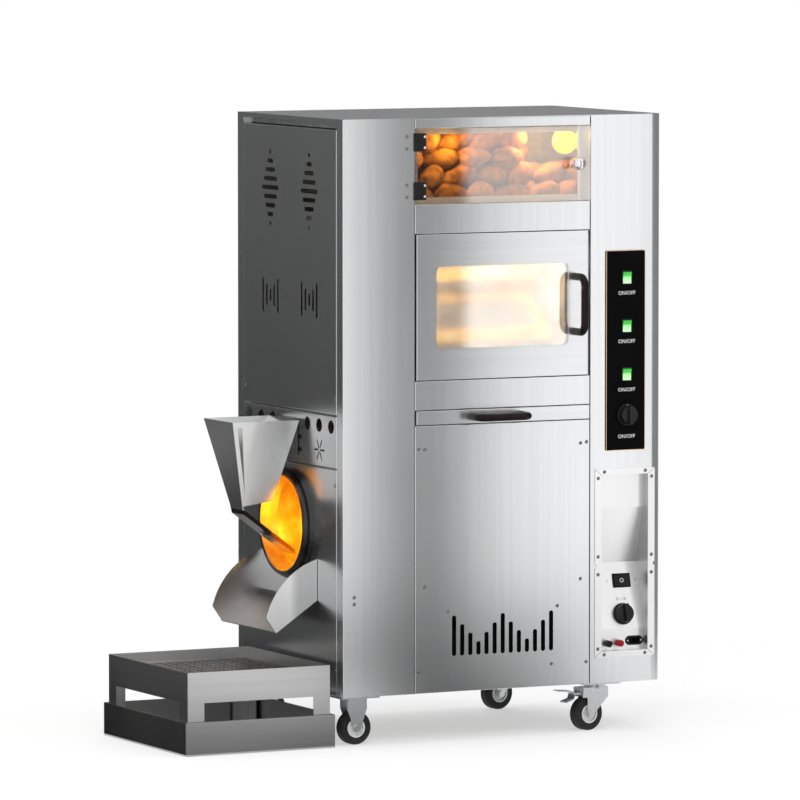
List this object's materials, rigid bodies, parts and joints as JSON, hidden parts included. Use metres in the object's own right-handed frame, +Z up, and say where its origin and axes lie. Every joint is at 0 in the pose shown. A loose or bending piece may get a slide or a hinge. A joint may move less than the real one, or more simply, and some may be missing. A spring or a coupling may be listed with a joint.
{
  "type": "nut roasting machine",
  "caption": "Gas roasting machine on casters with a warming cabinet, a rotary oven, a crumb drawer, a nut drum with hopper and chute, and a sieve box.",
  "frame": {"origin": "on the floor, at the middle of the footprint of the machine with its sieve box in place", "axes": "+Z up, the doors and controls face -Y, the hopper and sieve box are towards -X"},
  "size_m": [1.1806, 0.625, 1.386],
  "materials": {
    "frame_tube": "satin square tube",
    "cabinet_sheet": "brushed stainless sheet",
    "side_sheet": "brushed stainless sheet",
    "door_sheet": "brushed stainless sheet",
    "liner_sheet": "bright stainless sheet",
    "screw_steel": "bright",
    "lamp_glass": "clear bulb",
    "black_hinge": "satin black",
    "motor_housing": "cast",
    "burner_iron": "cast",
    "gas_brass": "turned",
    "black_ring": "satin black",
    "panel_black": "printed film, bare",
    "switch_black": "moulded",
    "rocker_green": "translucent, lit",
    "knob_black": "moulded",
    "hopper_sheet": "stainless sheet",
    "caster_steel": "zinc plated",
    "wheel_rubber": "black rubber on a grey hub",
    "door_pane": "clear",
    "knob_chrome": "polished",
    "oven_glass": "clear tempered",
    "handle_black": "glossy black",
    "drum_steel": "heat tinted",
    "rack_steel": "bright",
    "tray_sheet": "brushed stainless sheet",
    "mesh_steel": "stainless net"
  },
  "bodies": {
    "cabinet": {"frame": "frame_tube", "front_left_column": "cabinet_sheet", "front_right_column": "cabinet_sheet", "front_rails": "cabinet_sheet", "lower_front_panel": "cabinet_sheet", "left_upper_panel": "side_sheet", "left_vent_panel": "side_sheet", "left_lower_panel": "side_sheet", "right_side_panel": "cabinet_sheet", "back_panel": "cabinet_sheet", "top_cover": "cabinet_sheet", "panel_screws": "screw_steel", "warmer_liner": "liner_sheet", "oven_liner": "liner_sheet", "lamps": "lamp_glass", "door_hinges": "black_hinge", "gear_motors": "motor_housing", "gas_burner": "burner_iron", "gas_line": "gas_brass", "mouth_collar": "black_ring", "control_panel": "panel_black", "control_recess": "cabinet_sheet", "switch_housings": "switch_black", "power_inlets": "switch_black", "power_supply": "motor_housing", "feed_hopper": "hopper_sheet", "discharge_chute": "hopper_sheet", "caster_brackets": "caster_steel"},
    "warmer_door": {"warmer_door_pane": "door_pane", "warmer_door_hinges": "black_hinge", "warmer_door_knob": "knob_chrome"},
    "oven_door": {"oven_door_skin": "door_sheet", "oven_door_liner": "door_sheet", "oven_door_glass": "oven_glass", "oven_door_handle": "handle_black"},
    "drawer": {"drawer_pan": "door_sheet", "drawer_handle": "handle_black"},
    "warmer_lamp_switch": {"warmer_lamp_rocker": "rocker_green"},
    "oven_lamp_switch": {"oven_lamp_rocker": "rocker_green"},
    "rotation_switch": {"rotation_rocker": "rocker_green"},
    "power_switch": {"power_rocker": "switch_black"},
    "gas_knob": {"ignition_knob": "knob_black"},
    "speed_control": {"speed_knob": "knob_black"},
    "drum": {"drum_shell": "drum_steel", "drum_rim": "black_ring"},
    "rack": {"rack_frame": "rack_steel"},
    "first_basket": {"basket_1": "rack_steel"},
    "second_basket": {"basket_2": "rack_steel"},
    "third_basket": {"basket_3": "rack_steel"},
    "fourth_basket": {"basket_4": "rack_steel"},
    "tray": {"catch_tray": "tray_sheet"},
    "sieve": {"sieve_frame": "tray_sheet", "sieve_mesh": "mesh_steel"},
    "front_swivel": {"front_swivel_fork": "caster_steel"},
    "rear_swivel": {"rear_swivel_fork": "caster_steel"},
    "front_swivel_roller": {"front_swivel_wheel": "wheel_rubber"},
    "rear_swivel_roller": {"rear_swivel_wheel": "wheel_rubber"},
    "front_rigid_roller": {"front_rigid_wheel": "wheel_rubber"},
    "rear_rigid_roller": {"rear_rigid_wheel": "wheel_rubber"},
    "brake": {"brake_pedal": "caster_steel"}
  },
  "joints": [
    {"name": "warmer_door_swing", "type": "hinge", "parent": "cabinet", "child": "warmer_door", "pos_m": [-0.036, -0.2572, 1.1965], "axis": [0, 0, -1], "range_deg": [0, 150]},
    {"name": "oven_door_swing", "type": "hinge", "parent": "cabinet", "child": "oven_door", "pos_m": [-0.02225, -0.2455, 0.8055], "axis": [0, 0, -1], "range_deg": [0, 110]},
    {"name": "drawer_pull", "type": "slide", "parent": "cabinet", "child": "drawer", "axis": [0, -1, 0], "range_m": [0, 0.35]},
    {"name": "warmer_lamp_switch_rock", "type": "hinge", "parent": "cabinet", "child": "warmer_lamp_switch", "pos_m": [0.49465, -0.2545, 1.0208], "axis": [1, 0, 0], "range_deg": [-14, 0]},
    {"name": "oven_lamp_switch_rock", "type": "hinge", "parent": "cabinet", "child": "oven_lamp_switch", "pos_m": [0.49465, -0.2545, 0.9122], "axis": [1, 0, 0], "range_deg": [-14, 0]},
    {"name": "rotation_switch_rock", "type": "hinge", "parent": "cabinet", "child": "rotation_switch", "pos_m": [0.49465, -0.2545, 0.8036], "axis": [1, 0, 0], "range_deg": [-14, 0]},
    {"name": "power_switch_rock", "type": "hinge", "parent": "cabinet", "child": "power_switch", "pos_m": [0.50775, -0.20678, 0.33334], "axis": [0, 0.219, 0.9757], "range_deg": [-8, 8]},
    {"name": "gas_knob_turn", "type": "hinge", "parent": "cabinet", "child": "gas_knob", "pos_m": [0.49465, -0.2575, 0.7126], "axis": [0, -1, 0], "range_deg": [0, 90]},
    {"name": "speed_turn", "type": "hinge", "parent": "cabinet", "child": "speed_control", "pos_m": [0.50275, -0.22632, 0.26], "axis": [0, -0.9757, 0.219], "range_deg": [-140, 140]},
    {"name": "drum_turn", "type": "hinge", "parent": "cabinet", "child": "drum", "pos_m": [-0.21275, 0.014, 0.477], "axis": [1, 0, 0], "continuous": true},
    {"name": "rack_turn", "type": "hinge", "parent": "cabinet", "child": "rack", "pos_m": [0.18375, -0.0015, 0.96575], "axis": [1, 0, 0], "continuous": true},
    {"name": "first_basket_swing", "type": "hinge", "parent": "rack", "child": "first_basket", "pos_m": [0.18375, 0.09717, 1.00166], "axis": [1, 0, 0], "continuous": true},
    {"name": "second_basket_swing", "type": "hinge", "parent": "rack", "child": "second_basket", "pos_m": [0.18375, -0.03741, 1.06442], "axis": [1, 0, 0], "continuous": true},
    {"name": "third_basket_swing", "type": "hinge", "parent": "rack", "child": "third_basket", "pos_m": [0.18375, -0.10017, 0.92984], "axis": [1, 0, 0], "continuous": true},
    {"name": "fourth_basket_swing", "type": "hinge", "parent": "rack", "child": "fourth_basket", "pos_m": [0.18375, 0.03441, 0.86708], "axis": [1, 0, 0], "continuous": true},
    {"name": "tray_pull", "type": "slide", "parent": "cabinet", "child": "tray", "axis": [-1, 0, 0], "range_m": [0, 0.3]},
    {"name": "sieve_lift", "type": "slide", "parent": "tray", "child": "sieve", "axis": [0, 0, 1], "range_m": [0, 0.055]},
    {"name": "front_caster_swivel", "type": "hinge", "parent": "cabinet", "child": "front_swivel", "pos_m": [0.44325, -0.2045, 0.11], "axis": [0, 0, 1], "continuous": true},
    {"name": "front_swivel_wheel_roll", "type": "hinge", "parent": "front_swivel", "child": "front_swivel_roller", "pos_m": [0.41948, -0.20784, 0.0375], "axis": [-0.1392, 0.9903, 0], "continuous": true},
    {"name": "front_rigid_wheel_roll", "type": "hinge", "parent": "cabinet", "child": "front_rigid_roller", "pos_m": [-0.16275, -0.2045, 0.0375], "axis": [0, 1, 0], "continuous": true},
    {"name": "rear_caster_swivel", "type": "hinge", "parent": "cabinet", "child": "rear_swivel", "pos_m": [0.44325, 0.2325, 0.11], "axis": [0, 0, 1], "continuous": true},
    {"name": "rear_swivel_wheel_roll", "type": "hinge", "parent": "rear_swivel", "child": "rear_swivel_roller", "pos_m": [0.41948, 0.22916, 0.0375], "axis": [-0.1392, 0.9903, 0], "continuous": true},
    {"name": "rear_rigid_wheel_roll", "type": "hinge", "parent": "cabinet", "child": "rear_rigid_roller", "pos_m": [-0.16275, 0.2325, 0.0375], "axis": [0, 1, 0], "continuous": true},
    {"name": "brake_press", "type": "hinge", "parent": "front_swivel", "child": "brake", "pos_m": [0.4076, -0.20951, 0.084], "axis": [0.1392, -0.9903, 0], "range_deg": [0, 12]}
  ],
  "couplings": [
    {"joint": "first_basket_swing", "follows": "rack_turn", "ratio": -1},
    {"joint": "second_basket_swing", "follows": "rack_turn", "ratio": -1},
    {"joint": "third_basket_swing", "follows": "rack_turn", "ratio": -1},
    {"joint": "fourth_basket_swing", "follows": "rack_turn", "ratio": -1}
  ]
}
